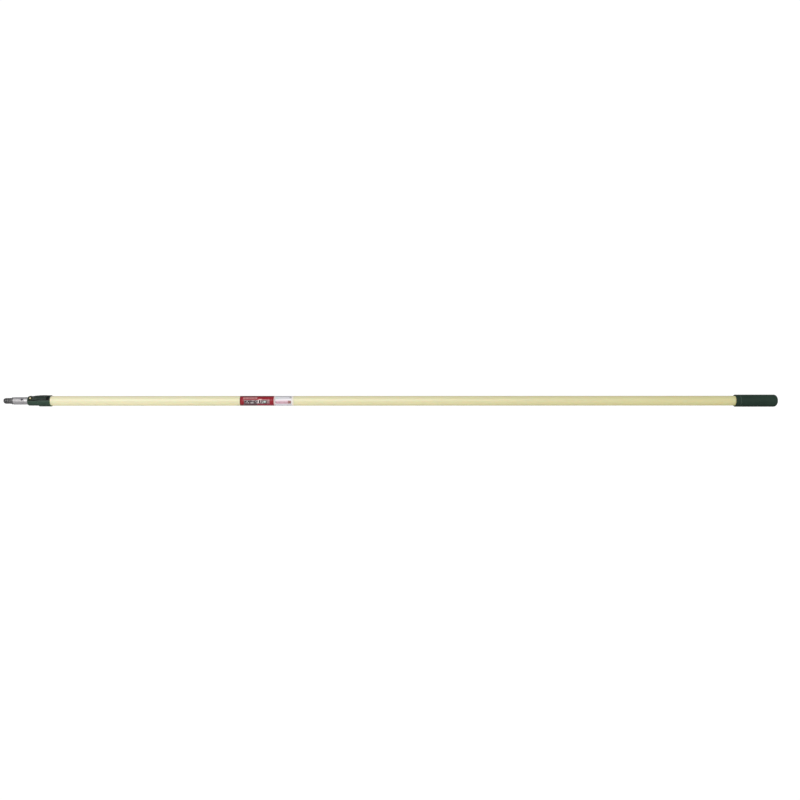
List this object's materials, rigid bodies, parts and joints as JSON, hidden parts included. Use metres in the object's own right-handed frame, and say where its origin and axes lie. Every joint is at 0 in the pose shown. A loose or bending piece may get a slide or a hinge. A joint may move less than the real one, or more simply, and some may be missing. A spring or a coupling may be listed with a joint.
{
  "type": "telescopic paint roller extension pole",
  "caption": "Two-section extension pole with a threaded roller tip, a lever lock on a green collar, a cream tube with labels and a vinyl end grip.",
  "frame": {"origin": "on the pole's axis, at the shoulder behind the tip's thread", "axes": "+X along the pole towards the grip, +Z out through the release lever, the tip's snap button on the -Y side"},
  "size_m": [2.4384, 0.0382, 0.0382],
  "materials": {
    "tip_metal": "satin",
    "bare_aluminium": "satin",
    "spring_steel": "satin",
    "button_steel": "satin",
    "acetal": "matte",
    "black_rubber": "matte",
    "green_nylon": "satin",
    "olive_nylon": "satin",
    "yellow_zinc": "satin",
    "cream_fibreglass": "gloss",
    "red_film": "gloss",
    "white_film": "gloss",
    "foam": "matte",
    "green_vinyl": "satin"
  },
  "bodies": {
    "pole": {"outer_tube": "cream_fibreglass", "lock_housing": "green_nylon", "front_wiper": "black_rubber", "guide_bush": "acetal", "tube_gasket": "black_rubber", "collar_rivets": "bare_aluminium", "pivot_washers": "olive_nylon", "pivot_rivets": "yellow_zinc", "return_spring": "spring_steel", "return_screw": "spring_steel", "red_label": "red_film", "white_label": "white_film", "end_plug": "acetal", "end_bumper": "foam", "end_grip": "green_vinyl"},
    "inner_pole": {"inner_tube": "bare_aluminium", "threaded_tip": "tip_metal", "tip_ferrule": "bare_aluminium", "ferrule_rivets": "bare_aluminium", "tip_button_spring": "spring_steel", "rear_bush": "acetal", "rear_o_ring": "black_rubber", "rear_bush_pin": "spring_steel"},
    "button": {"tip_button": "button_steel"},
    "lever": {"lock_lever": "green_nylon", "spring_rivet": "spring_steel"},
    "lock_leaf": {"lock_spring": "spring_steel"}
  },
  "joints": [
    {"name": "inner_slide", "type": "slide", "parent": "pole", "child": "inner_pole", "axis": [-1, 0, 0], "range_m": [0, 2.1336]},
    {"name": "lever_lift", "type": "hinge", "parent": "pole", "child": "lever", "pos_m": [0.0635, 0, 0.0088], "axis": [0, -1, 0], "range_deg": [0, 8], "stiffness_Nm_per_rad": 2.4, "springref_deg": -5.73, "deforming": ["return_spring"]},
    {"name": "stud_drop", "type": "hinge", "parent": "lever", "child": "lock_leaf", "pos_m": [0.074, 0, 0.01425], "axis": [0, 1, 0], "range_deg": [0, 9], "stiffness_Nm_per_rad": 0.05},
    {"name": "tip_button_press", "type": "slide", "parent": "inner_pole", "child": "button", "axis": [0, 0.9205, -0.3907], "range_m": [0, 0.0027], "stiffness_N_per_m": 800, "springref_m": -0.002, "deforming": ["tip_button_spring"]}
  ]
}
